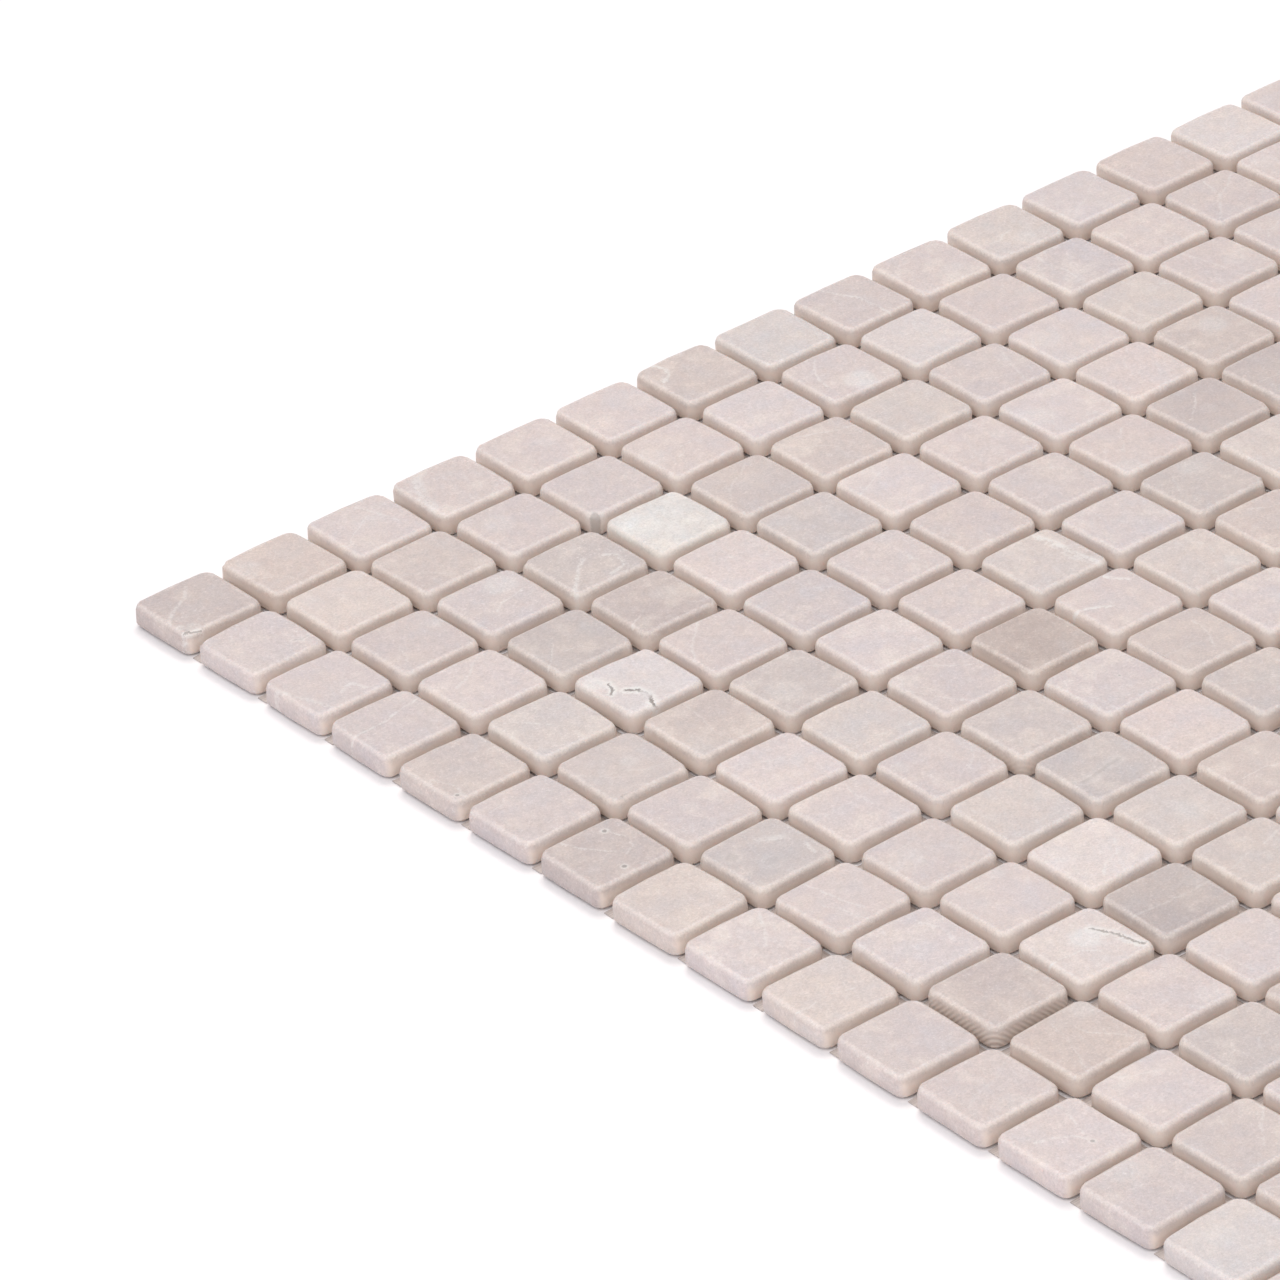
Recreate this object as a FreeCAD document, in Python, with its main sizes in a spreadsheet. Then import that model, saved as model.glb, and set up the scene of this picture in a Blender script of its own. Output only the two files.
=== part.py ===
import FreeCAD, Part
import os
import Sketcher

# Mosaic tile sheet: square marble chips with tumbled edges, set in a square
# field with open joints and bonded to a square of glass-fibre net.
# Origin at the middle of the net's underside, +Z up out of the chips' faces,
# rows of chips along X. All sizes in millimetres.

# Driving sizes: name, value, meaning.
SIZES = (
    ("chips_per_side", 18, "chips along each edge of the sheet"),
    ("chip_side", 15.5, "side of one chip, outside its worn edges"),
    ("chip_thickness", 4.0, "chip, from its sawn back to its face"),
    ("joint_width", 1.5, "open joint between neighbouring chips"),
    ("corner_wear", 1.5, "leg of the wear on a chip's four upright corners"),
    ("edge_wear", 0.9, "leg of the wear round a chip's face"),
    ("net_thickness", 0.4, "glass-fibre net with its coat of adhesive"),
    ("net_inset", 1.0, "net's edge, set back under the outer chips"),
    ("net_strip", 8.0, "strip of net left between two of its openings"),
)

# Places that more than one piece uses, as expressions on the sizes.
CHIP_PITCH = "(sizes.chip_side + sizes.joint_width)"
HALF_FIELD = "(sizes.chips_per_side - 1) / 2"
NET_SIDE = f"sizes.chips_per_side * {CHIP_PITCH} - sizes.joint_width - 2 * sizes.net_inset"

# The net's openings are drawn wider than they are woven. Each lies under two
# chips by four, and the strips between run under the joints, so that every
# chip keeps its seat; the outermost chips stand on closed net.
OPENING_ROWS = 4
OPENINGS_ACROSS = "(sizes.chips_per_side / 2 - 1)"
OPENING_PITCH_X = f"2 * {CHIP_PITCH}"
OPENING_PITCH_Y = f"(sizes.chips_per_side - 2) * {CHIP_PITCH} / {OPENING_ROWS}"


def make_sheet(doc):
    """Lay the driving sizes out in a spreadsheet, one alias to a row."""
    sheet = doc.addObject("Spreadsheet::Sheet", "sizes")
    for row, (alias, value, meaning) in enumerate(SIZES, start=1):
        sheet.set(f"A{row}", alias)
        sheet.set(f"B{row}", str(value))
        sheet.set(f"C{row}", meaning)
        sheet.setAlias(f"B{row}", alias)
    doc.recompute()
    return sheet


def origin_feature(body, role):
    """Return the plane or axis of a body's own origin that has this role."""
    return next(item for item in body.Origin.OriginFeatures if item.Role == role)


def rectangle_sketch(body, name, width, depth, middle=None):
    """Draw a rectangle, its sides and the place of its middle bound to expressions."""
    sketch = body.newObject("Sketcher::SketchObject", name)
    sketch.AttachmentSupport = [(origin_feature(body, "XY_Plane"), "")]
    sketch.MapMode = "FlatFace"
    corners = [
        FreeCAD.Vector(-1, -1, 0),
        FreeCAD.Vector(1, -1, 0),
        FreeCAD.Vector(1, 1, 0),
        FreeCAD.Vector(-1, 1, 0),
    ]
    for index in range(4):
        sketch.addGeometry(Part.LineSegment(corners[index], corners[(index + 1) % 4]), False)
    for index in range(4):
        sketch.addConstraint(Sketcher.Constraint("Coincident", index, 2, (index + 1) % 4, 1))
    for index in (0, 2):
        sketch.addConstraint(Sketcher.Constraint("Horizontal", index))
    for index in (1, 3):
        sketch.addConstraint(Sketcher.Constraint("Vertical", index))
    sketch.addConstraint(Sketcher.Constraint("Symmetric", 0, 1, 2, 1, -1, 1))
    for role, kind, start, end, size in (
        ("width", "DistanceX", (0, 1), (0, 2), width),
        ("depth", "DistanceY", (1, 1), (1, 2), depth),
    ):
        number = sketch.addConstraint(Sketcher.Constraint(kind, *start, *end, 2.0))
        sketch.renameConstraint(number, role)
        sketch.setExpression(f"Constraints.{role}", size)
    if middle is not None:
        sketch.setExpression("AttachmentOffset.Base.x", middle[0])
        sketch.setExpression("AttachmentOffset.Base.y", middle[1])
    return sketch


def pad_sketch(body, name, sketch, height):
    """Raise a sketch to a height bound to an expression."""
    pad = body.newObject("PartDesign::Pad", name)
    pad.Profile = sketch
    pad.setExpression("Length", height)
    body.Document.recompute()
    return pad


def upright_edges(shape):
    """Name the edges of a prism that run along Z."""
    names = []
    for number, edge in enumerate(shape.Edges, start=1):
        run = edge.Vertexes[-1].Point - edge.Vertexes[0].Point
        if abs(run.z) > 0.5 * edge.Length:
            names.append(f"Edge{number}")
    return names


def face_edges(shape):
    """Name the edges that lie wholly in the top plane of a shape."""
    top = shape.BoundBox.ZMax
    names = []
    for number, edge in enumerate(shape.Edges, start=1):
        if all(abs(vertex.Z - top) < 1e-6 for vertex in edge.Vertexes):
            names.append(f"Edge{number}")
    return names


def wear_edges(body, name, base, edges, leg):
    """Wear named edges off flat, by a leg bound to an expression."""
    chamfer = body.newObject("PartDesign::Chamfer", name)
    chamfer.Base = (base, edges)
    chamfer.setExpression("Size", leg)
    body.Document.recompute()
    return chamfer


def make_chip_row(doc, row):
    """Build one row of loose chips along X, counted from the +Y edge of the sheet."""
    label = f"chip_row_{row + 1:02d}"
    body = doc.addObject("PartDesign::Body", label)
    body.Label = label
    body.AllowCompound = True

    # One chip: a sawn square, its corners and then the rim of its face worn.
    outline = rectangle_sketch(body, f"{label}_outline", "sizes.chip_side", "sizes.chip_side")
    sawn = pad_sketch(body, f"{label}_sawn", outline, "sizes.chip_thickness")
    corners = wear_edges(
        body, f"{label}_corners", sawn, upright_edges(sawn.Shape), "sizes.corner_wear"
    )
    wear_edges(body, f"{label}_rim", corners, face_edges(corners.Shape), "sizes.edge_wear")

    # The row: the same chip again at every pitch.
    pattern = body.newObject("PartDesign::LinearPattern", f"{label}_chips")
    pattern.TransformMode = "Whole shape"
    pattern.Direction = (origin_feature(body, "X_Axis"), [""])
    pattern.Mode = "Spacing"
    pattern.setExpression("Offset", CHIP_PITCH)
    pattern.setExpression("Occurrences", "sizes.chips_per_side")
    body.Tip = pattern

    # The row's first chip stands at the -X end, its back on the net.
    body.setExpression("Placement.Base.x", f"-{HALF_FIELD} * {CHIP_PITCH}")
    body.setExpression("Placement.Base.y", f"({HALF_FIELD} - {row}) * {CHIP_PITCH}")
    body.setExpression("Placement.Base.z", "sizes.net_thickness")
    return body


def make_backing_net(doc):
    """Build the square of net that every chip's back is bonded to."""
    body = doc.addObject("PartDesign::Body", "backing_net")
    body.Label = "backing_net"
    outline = rectangle_sketch(body, "backing_net_outline", NET_SIDE, NET_SIDE)
    cloth = pad_sketch(body, "backing_net_cloth", outline, "sizes.net_thickness")

    # Row by row from -Y: one opening through the net at the -X end, and the
    # same opening again at every second joint across.
    step = cloth
    for row in range(OPENING_ROWS):
        name = f"backing_net_row_{row + 1}"
        first = (
            f"-({OPENINGS_ACROSS} - 1) / 2 * {OPENING_PITCH_X}",
            f"({row} - ({OPENING_ROWS} - 1) / 2) * {OPENING_PITCH_Y}",
        )
        opening = rectangle_sketch(
            body,
            f"{name}_opening",
            f"{OPENING_PITCH_X} - sizes.net_strip",
            f"{OPENING_PITCH_Y} - sizes.net_strip",
            first,
        )
        cut = body.newObject("PartDesign::Pocket", f"{name}_cut")
        cut.Profile = opening
        cut.Reversed = True
        cut.setExpression("Length", "sizes.net_thickness")
        doc.recompute()
        if not cut.Shape.Volume < step.Shape.Volume:
            raise RuntimeError(f"{name}: the first opening does not cut the net")
        step = body.newObject("PartDesign::LinearPattern", f"{name}_openings")
        step.Originals = [cut]
        step.Direction = (origin_feature(body, "X_Axis"), [""])
        step.Mode = "Spacing"
        step.setExpression("Offset", OPENING_PITCH_X)
        step.setExpression("Occurrences", OPENINGS_ACROSS)
        body.Tip = step
        doc.recompute()
    return body


def check_objects(doc, parts):
    """Stop if any object failed to compute or any piece is not a sound solid."""
    for item in doc.Objects:
        if "Invalid" in item.State or "Error" in item.State:
            raise RuntimeError(f"{item.Label} did not compute: {item.State}")
    for part in parts:
        if part.Shape.isNull() or not part.Shape.isValid() or not part.Shape.Solids:
            raise RuntimeError(f"{part.Label} has no sound shape")


def main():
    """Build the sheet and write each of its pieces to the parts folder."""
    doc = FreeCAD.newDocument("mosaic_sheet")
    sizes = make_sheet(doc)
    parts = [make_backing_net(doc)]
    for row in range(int(sizes.chips_per_side)):
        parts.append(make_chip_row(doc, row))
    doc.recompute()
    check_objects(doc, parts)
    os.makedirs("parts", exist_ok=True)
    for part in parts:
        part.Shape.exportStep(f"parts/{part.Label}.step")
        print(f"{part.Label}: {len(part.Shape.Solids)} solid(s), {part.Shape.Volume:.1f} mm3")


main()
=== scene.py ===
"""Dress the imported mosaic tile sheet: tumbled marble on a glass-fibre net, in a soft studio."""

import logging
import math
import random
from dataclasses import dataclass
from enum import Enum

import bmesh
import bpy
from bmesh.types import BMEdge, BMesh, BMLayerItem, BMVert
from bpy.types import ID, Material, Mesh, Node, NodeTree, Object
from bpy.types import NodeOutputs as Outputs, NodeSocket as Socket
from mathutils import Matrix, Vector, noise


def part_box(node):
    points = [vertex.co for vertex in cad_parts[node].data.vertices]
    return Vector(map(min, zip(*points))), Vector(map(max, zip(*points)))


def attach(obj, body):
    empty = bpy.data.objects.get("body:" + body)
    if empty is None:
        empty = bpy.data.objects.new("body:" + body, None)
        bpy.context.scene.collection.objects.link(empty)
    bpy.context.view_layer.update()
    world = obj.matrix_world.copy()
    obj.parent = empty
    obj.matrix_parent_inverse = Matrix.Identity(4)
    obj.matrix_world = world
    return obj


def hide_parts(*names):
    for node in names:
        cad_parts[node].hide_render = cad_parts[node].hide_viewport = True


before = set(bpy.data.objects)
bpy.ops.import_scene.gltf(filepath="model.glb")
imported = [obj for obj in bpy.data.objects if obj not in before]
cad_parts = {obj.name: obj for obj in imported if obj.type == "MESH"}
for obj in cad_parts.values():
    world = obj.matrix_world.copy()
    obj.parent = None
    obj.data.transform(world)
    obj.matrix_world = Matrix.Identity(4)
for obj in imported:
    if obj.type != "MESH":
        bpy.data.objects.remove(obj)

LOG = logging.getLogger("mosaic_sheet")
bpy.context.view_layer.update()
MM = 0.001
ROWS = 18
BODY = "root"
FLOAT, VECTOR = "NodeSocketFloat", "NodeSocketVector"
Pair = tuple[float, float]
Triple = tuple[float, float, float]
Colour = tuple[float, float, float, float]


class Tone(Enum):
    """Shades that the stone of single chips comes in, as linear base colours."""

    ROSE = (0.605, 0.520, 0.510)
    BLUSH = (0.632, 0.547, 0.538)
    CREAM = (0.612, 0.532, 0.508)
    SAND = (0.575, 0.490, 0.468)
    PALE = (0.628, 0.566, 0.556)
    PEARL = (0.668, 0.592, 0.580)
    MILK = (0.690, 0.650, 0.628)
    LILAC = (0.542, 0.474, 0.461)
    TAUPE = (0.520, 0.442, 0.427)
    SMOKE = (0.490, 0.415, 0.398)
    UMBER = (0.462, 0.378, 0.350)


@dataclass(frozen=True)
class Line:
    """One vein or crack across a chip's face, in millimetres from the chip's middle."""

    path: tuple[Pair, ...] = ((0.0, 0.0), (0.0, 0.0))  # two to four points that it passes
    width: float = 0.2
    white: float = 0.0  # how clearly its white mineral shows, from 0 to 1
    split: float = 0.0  # how far it gapes as a dark crack; above 1 it is unbroken

    def point(self, number: int) -> Vector:
        """Return one of four points of the path, where a short one stays on its last."""
        return Vector((*self.path[min(number, len(self.path) - 1)], 0.0))


@dataclass(frozen=True)
class Spot:
    """One round mark on a chip's face, in millimetres from the chip's middle."""

    x: float = 0.0
    y: float = 0.0
    radius: float = 1.0
    shade: float = 0.0  # from -1 for a dark pit to 1 for a pale curd


@dataclass(frozen=True)
class ChipTraits:
    """What tells one chip's stone from the next; one without a tone is given one by chance."""

    tone: Tone | None = None
    vein: Line = Line()
    branch: Line = Line()
    spot: Spot = Spot()
    dimple: Spot = Spot()
    cloud: float = 0.4
    fleck: float = 0.25
    sawn: float = 0.0


# How often each shade comes among the ordinary chips, out of a hundred.
COMMON: dict[Tone, int] = {
    Tone.ROSE: 34,
    Tone.BLUSH: 22,
    Tone.CREAM: 13,
    Tone.SAND: 12,
    Tone.PALE: 5,
    Tone.PEARL: 5,
    Tone.LILAC: 4,
    Tone.TAUPE: 4,
    Tone.SMOKE: 1,
}

# Shares of the ordinary chips with a vein, with a second one and with a pit.
VEINED, BRANCHED, PITTED = 0.80, 0.45, 0.05

# Chips with marks that the photo shows: column along the row, row from the +Y edge.
NOTED: dict[tuple[int, int], ChipTraits] = {
    (0, 0): ChipTraits(
        tone=Tone.TAUPE,
        vein=Line(((1.4, 5.0), (-1.0, 2.3), (-5.0, -0.3), (-7.2, -2.4)), 0.42, 0.6),
        branch=Line(((-7.0, -6.3), (-6.2, -6.9), (-4.6, -7.2)), 0.42, 0.7, 0.9),
        spot=Spot(-4.9, -5.9, 1.4, 0.5),
        dimple=Spot(-6.4, -4.5, 1.0, 0.4),
        fleck=0.3,
    ),
    (0, 1): ChipTraits(
        vein=Line(((3.6, -3.4), (4.8, -4.1), (6.2, -4.0)), 0.55, 0.6, 0.3), fleck=0.6
    ),
    (0, 2): ChipTraits(
        vein=Line(((-7.3, 3.8), (-5.9, -1.0), (-4.9, -3.4), (-4.3, -6.6)), 0.45, 0.6),
        branch=Line(((-0.3, -4.2), (1.0, -3.3), (2.4, -3.2), (3.3, -5.6)), 0.4, 0.7),
        fleck=0.5,
    ),
    (0, 3): ChipTraits(vein=Line(((-7.6, 1.1), (-0.8, 1.3), (3.3, 2.6), (7.4, 3.4)), 0.28, 0.75)),
    (0, 4): ChipTraits(
        vein=Line(((-5.9, 0.6), (-5.2, -1.8), (-4.3, -3.6), (-5.2, -6.6)), 0.25, 0.5),
        spot=Spot(-5.9, -5.8, 0.42, -0.9),
        fleck=0.6,
    ),
    (0, 6): ChipTraits(
        tone=Tone.TAUPE,
        vein=Line(((-3.4, 7.0), (-2.4, 3.7), (-0.6, 1.0), (1.0, -1.0)), 0.24, 0.7),
        branch=Line(((3.8, 3.6), (4.8, 1.0), (3.9, -1.7), (1.7, -2.7)), 0.22, 0.6),
        spot=Spot(3.3, 4.6, 0.5, -1.0),
        dimple=Spot(-0.6, -5.1, 0.48, -1.0),
    ),
    (0, 8): ChipTraits(
        vein=Line(((5.8, 5.6), (4.1, 3.1), (2.6, 0.1), (0.8, -2.2)), 0.3, 0.55), cloud=0.7
    ),
    (0, 12): ChipTraits(
        vein=Line(((-4.8, 2.0), (-1.6, 1.0), (0.8, -0.8), (1.4, -2.2)), 0.3, 0.6),
        branch=Line(((3.9, 6.9), (3.5, 3.4), (2.3, 0.4), (1.7, -2.4)), 0.22, 0.5),
        spot=Spot(1.4, -3.2, 0.45, -0.8),
    ),
    (3, 0): ChipTraits(
        vein=Line(((-2.9, 5.6), (-4.4, 2.6), (-6.2, -0.4), (-6.6, -3.8)), 1.1, 0.65), cloud=0.8
    ),
    (2, 2): ChipTraits(
        vein=Line(((-2.4, -2.4), (-0.2, -0.6), (2.4, -0.6), (4.9, 0.2)), 0.22, 0.6),
        spot=Spot(3.0, 3.6, 3.2, 0.5),
        fleck=0.8,
    ),
    (3, 2): ChipTraits(
        tone=Tone.LILAC,
        vein=Line(((-7.6, -7.2), (-5.0, -3.9), (-2.6, -1.5), (0.5, 0.8)), 0.42, 0.75),
        branch=Line(((3.6, -0.4), (5.0, -2.1), (4.0, -5.1), (0.6, -6.1)), 0.42, 0.75),
        fleck=1.0,
    ),
    (4, 1): ChipTraits(spot=Spot(-6.9, -7.0, 1.1, -0.7)),
    (4, 2): ChipTraits(
        tone=Tone.MILK,
        vein=Line(((5.4, 6.8), (3.4, 3.6), (1.4, 0.0), (-1.6, -5.2)), 1.5, 0.6),
        spot=Spot(-4.2, 2.2, 4.2, 0.75),
        cloud=1.0,
    ),
    (2, 4): ChipTraits(
        vein=Line(((-4.1, 2.4), (-4.6, 0.4), (-5.8, -0.4)), 0.75, 1.0, 1.2),
        branch=Line(((-3.4, -1.0), (-1.9, -2.3), (-1.6, -4.3), (-2.8, -7.2)), 0.9, 1.0, 1.3),
        spot=Spot(-5.6, 4.0, 2.2, 0.8),
        fleck=0.6,
    ),
    (1, 7): ChipTraits(
        tone=Tone.LILAC,
        vein=Line(((5.8, -1.3), (5.5, -3.0), (4.8, -5.2)), 0.4, 0.8),
        branch=Line(((1.2, 3.4), (2.8, 2.4), (4.4, 1.4)), 0.9, 0.5),
        spot=Spot(-4.4, 2.6, 1.3, -0.22),
        dimple=Spot(-1.1, -2.3, 1.5, -0.18),
        fleck=0.6,
    ),
    (1, 10): ChipTraits(tone=Tone.TAUPE, sawn=1.0, fleck=0.5),
    (2, 10): ChipTraits(
        vein=Line(((-7.8, -0.6), (-4.2, -0.5), (-1.7, -1.0), (0.3, -3.0)), 0.24, 0.8),
        branch=Line(((3.0, 2.2), (4.3, 0.0), (4.9, -2.4), (5.9, -5.8)), 0.8, 0.7, 1.0),
        spot=Spot(0.9, 1.0, 3.0, 0.75),
    ),
    (4, 7): ChipTraits(tone=Tone.LILAC, sawn=0.3),
    (4, 8): ChipTraits(vein=Line(((-5.4, -1.8), (-1.9, -1.4), (2.7, -0.5)), 1.1, 0.0, 0.3)),
    (5, 6): ChipTraits(tone=Tone.UMBER, fleck=0.6),
    (6, 0): ChipTraits(
        vein=Line(((-3.4, 6.8), (-2.7, 4.6), (-3.7, 2.6), (-5.7, 1.5)), 0.4, 0.95),
        spot=Spot(-5.4, 1.6, 0.8, 0.6),
    ),
    (6, 5): ChipTraits(
        vein=Line(((3.9, 6.4), (4.7, 2.2), (4.5, -2.0), (5.4, -6.8)), 0.85, 0.95),
        branch=Line(((3.6, 3.4), (3.4, -2.8), (4.4, -6.6)), 0.3, 0.5),
    ),
    (6, 6): ChipTraits(
        vein=Line(((-7.4, 2.0), (-4.8, 0.7), (-2.0, -1.1)), 0.42, 0.95),
        branch=Line(((2.9, 6.5), (3.9, 4.8), (5.3, 3.2)), 0.42, 0.9),
        cloud=0.6,
    ),
    (7, 1): ChipTraits(
        vein=Line(((-0.5, 6.2), (-3.3, 2.5), (-4.5, -0.4), (-4.7, -2.6)), 0.28, 0.7),
        spot=Spot(0.6, -4.2, 3.2, 0.7),
    ),
    (8, 0): ChipTraits(vein=Line(((-1.5, 6.8), (0.1, 2.8), (1.4, 0.7), (1.6, -7.4)), 0.3, 0.75)),
}


def draw_line(dice: random.Random) -> Line:
    """Draw a faint white hairline at a chance place.

    Args:
        dice: Seeded source of chance.

    Returns:
        A line that crosses part of the face.
    """
    turn = dice.uniform(0.0, math.pi)
    along, across = (math.cos(turn), math.sin(turn)), (-math.sin(turn), math.cos(turn))
    start, reach = dice.uniform(-8.5, -1.0), dice.uniform(4.0, 16.0)
    offset = dice.uniform(-5.5, 5.5)
    path = []
    for step in range(4):
        run = start + reach * step / 3.0
        aside = offset + dice.uniform(-0.8, 0.8)
        path.append((run * along[0] + aside * across[0], run * along[1] + aside * across[1]))
    return Line(tuple(path), width=dice.uniform(0.12, 0.28), white=dice.uniform(0.15, 0.55))


def draw_tone(dice: random.Random) -> Tone:
    """Draw the shade of an ordinary chip, the common ones more often."""
    return dice.choices(list(COMMON), weights=list(COMMON.values()))[0]


def draw_traits(dice: random.Random) -> ChipTraits:
    """Draw the traits of an ordinary chip.

    Args:
        dice: Seeded source of chance.

    Returns:
        Traits of one chip.
    """
    tone = draw_tone(dice)
    vein = draw_line(dice) if dice.random() < VEINED else Line()
    branch = draw_line(dice) if dice.random() < BRANCHED else Line()
    x, y = dice.uniform(-6.0, 6.0), dice.uniform(-6.0, 6.0)
    curd = Spot(x, y, radius=dice.uniform(1.5, 3.5), shade=dice.uniform(0.0, 0.35))
    x, y = dice.uniform(-6.5, 6.5), dice.uniform(-6.5, 6.5)
    pit = Spot(x, y, radius=dice.uniform(0.2, 0.4), shade=-0.7)
    dimple = pit if dice.random() < PITTED else Spot()
    cloud, fleck = dice.uniform(0.15, 0.6), dice.uniform(0.1, 0.5)
    return ChipTraits(tone, vein, branch, curd, dimple, cloud, fleck)


class Graph:
    """A node tree under construction."""

    def __init__(self, tree: NodeTree) -> None:
        """Start on a tree, in a material or in a group."""
        self.tree = tree

    def node(self, kind: str, **settings: object) -> Node:
        """Add a node.

        Args:
            kind: The node's type name.
            **settings: Properties to set on it.

        Returns:
            The new node.
        """
        made = self.tree.nodes.new(kind)
        for name, value in settings.items():
            setattr(made, name, value)
        return made

    def feed(self, socket: Socket, source: object) -> None:
        """Link a socket to an output, or set its value."""
        if isinstance(source, Socket):
            self.tree.links.new(source, socket)
        else:
            socket.default_value = source

    def fill(self, node: Node, sources: dict[str, object]) -> Outputs:
        """Feed a node's inputs by name and return its outputs."""
        for name, source in sources.items():
            self.feed(node.inputs[name], source)
        return node.outputs

    def math(self, operation: str, *values: object, clamp: bool = False) -> Socket:
        """Add a Math node and return its result."""
        made = self.node("ShaderNodeMath", operation=operation, use_clamp=clamp)
        for socket, value in zip(made.inputs, values):
            self.feed(socket, value)
        return made.outputs[0]

    def vector(self, operation: str, *values: object, output: int = 0) -> Socket:
        """Add a Vector Math node and return one of its results."""
        made = self.node("ShaderNodeVectorMath", operation=operation)
        for socket, value in zip(made.inputs, values):
            self.feed(socket, value)
        return made.outputs[output]

    def times(self, value: object, by: object) -> Socket:
        """Return the product of two values."""
        return self.math("MULTIPLY", value, by)

    def parts(self, vector: object) -> Outputs:
        """Return the X, Y and Z of a vector."""
        return self.fill(self.node("ShaderNodeSeparateXYZ"), {"Vector": vector})

    def ramp(self, value: object, low: float, high: float) -> Socket:
        """Return a smooth step of a value, from 0 at low to 1 at high."""
        made = self.node("ShaderNodeMapRange", interpolation_type="SMOOTHSTEP")
        return self.fill(made, {"Value": value, "From Min": low, "From Max": high})["Result"]

    def fade(self, value: object, low: float, high: float, strength: object) -> Socket:
        """Return a smooth step of a value, from a strength at low to 0 at high."""
        return self.times(self.math("SUBTRACT", 1.0, self.ramp(value, low, high)), strength)

    def noise(self, place: object, scale: float, detail: float, rough: float = 0.5) -> Socket:
        """Return noise around 0.5 at a place."""
        made = self.node("ShaderNodeTexNoise", noise_dimensions="3D")
        look = {"Scale": scale, "Detail": detail, "Roughness": rough}
        return self.fill(made, {"Vector": place, **look})["Fac"]

    def moved(self, place: object, by: float) -> Socket:
        """Return a place moved far enough for its noise to be another one."""
        return self.vector("ADD", place, (by, -by, by))

    def tint(self, factor: object, base: object, over: object, blend: str = "MIX") -> Socket:
        """Return a base colour with another laid over it by a factor."""
        made = self.node("ShaderNodeMix", data_type="RGBA", blend_type=blend)
        return self.fill(made, {"Factor": factor, "A": base, "B": over})["Result"]

    def lay(self, mask: object, share: object, base: object, over: object) -> Socket:
        """Return a base colour with a share of another laid over it where a mask shows."""
        return self.tint(self.times(mask, share), base, over)

    def most(self, marks: list[Outputs], name: str) -> Socket:
        """Return the stronger of two marks' masks."""
        return self.math("MAXIMUM", marks[0][name], marks[1][name])

    def attribute(self, name: str, output: str = "Vector") -> Socket:
        """Return one reading of a mesh attribute."""
        return self.node("ShaderNodeAttribute", attribute_name=name).outputs[output]

    def bump(self, height: object, strength: float, distance: float) -> Socket:
        """Return the surface's direction, roughened by a height."""
        sources = {"Height": height, "Strength": strength, "Distance": distance}
        return self.fill(self.node("ShaderNodeBump"), sources)["Normal"]

    def surface(self, sources: dict[str, object]) -> None:
        """End a material's tree in a Principled shader."""
        shader = self.fill(self.node("ShaderNodeBsdfPrincipled"), sources)["BSDF"]
        self.fill(self.node("ShaderNodeOutputMaterial"), {"Surface": shader})


def empty_material(name: str) -> Material:
    """Make a material whose tree has no nodes yet."""
    made = bpy.data.materials.new(name)
    made.use_nodes = True
    made.node_tree.nodes.clear()
    return made


def put_in_scene(name: str, data: ID) -> Object:
    """Put an object at the origin of the scene."""
    made = bpy.data.objects.new(name, data)
    bpy.context.scene.collection.objects.link(made)
    return made


def finish_mesh(shape: BMesh, name: str) -> Mesh:
    """Turn a shape under construction into a mesh."""
    mesh = bpy.data.meshes.new(name)
    shape.to_mesh(mesh)
    shape.free()
    return mesh


def box(*size: float) -> BMesh:
    """Start a shape with a box about the origin."""
    shape = bmesh.new()
    bmesh.ops.create_cube(shape, size=1.0)
    bmesh.ops.scale(shape, vec=size, verts=shape.verts)
    return shape


def round_edges(shape: BMesh, edges: list[BMEdge], radius: float, segments: int) -> None:
    """Round a set of edges."""
    rest = {"profile": 0.5, "affect": "EDGES", "material": -1}
    bmesh.ops.bevel(shape, geom=edges, offset=radius, segments=segments, **rest)


class Effect:
    """A shader node group with named sockets, shared among finishes."""

    name: str
    inputs: dict[str, str]  # socket types, by name
    outputs: tuple[str, ...]  # names, each a float

    def tree(self) -> NodeTree:
        """Return the group, building it the first time."""
        made = bpy.data.node_groups.get(self.name)
        if made is None:
            made = bpy.data.node_groups.new(self.name, "ShaderNodeTree")
            for name, kind in self.inputs.items():
                made.interface.new_socket(name, in_out="INPUT", socket_type=kind)
            for name in self.outputs:
                made.interface.new_socket(name, in_out="OUTPUT", socket_type=FLOAT)
            graph = Graph(made)
            given = graph.node("NodeGroupInput").outputs
            graph.fill(graph.node("NodeGroupOutput"), self.work(graph, given))
        return made

    def work(self, graph: Graph, given: Outputs) -> dict[str, Socket]:
        """Build the group's nodes from its inputs and return what each output gives."""
        raise NotImplementedError

    def place(self, graph: Graph, **sources: object) -> Outputs:
        """Put the group in a tree, with a source for each input, and return its outputs."""
        return graph.fill(graph.node("ShaderNodeGroup", node_tree=self.tree()), sources)


class StoneCloud(Effect):
    """Broad drifts of tone, milky clouds and the fine mottle of the stone."""

    name = "Stone Cloud"
    inputs = {"Bed": VECTOR}
    outputs = ("Drift", "Cloud", "Curd", "Flow", "Mottle")

    def work(self, graph: Graph, given: Outputs) -> dict[str, Socket]:
        """Build the drifts, clouds and mottle from three scales of noise."""
        drift = graph.noise(given["Bed"], scale=0.09, detail=0.0)
        broad = graph.noise(graph.moved(given["Bed"], 31.0), scale=0.17, detail=2.0, rough=0.6)
        mottle = graph.noise(given["Bed"], scale=0.50, detail=4.0, rough=0.95)
        return {
            "Drift": graph.ramp(drift, 0.36, 0.64),
            "Cloud": graph.ramp(broad, 0.50, 0.68),
            "Curd": graph.ramp(mottle, 0.54, 0.70),
            "Flow": broad,
            "Mottle": graph.math("SUBTRACT", mottle, 0.5),
        }


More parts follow.
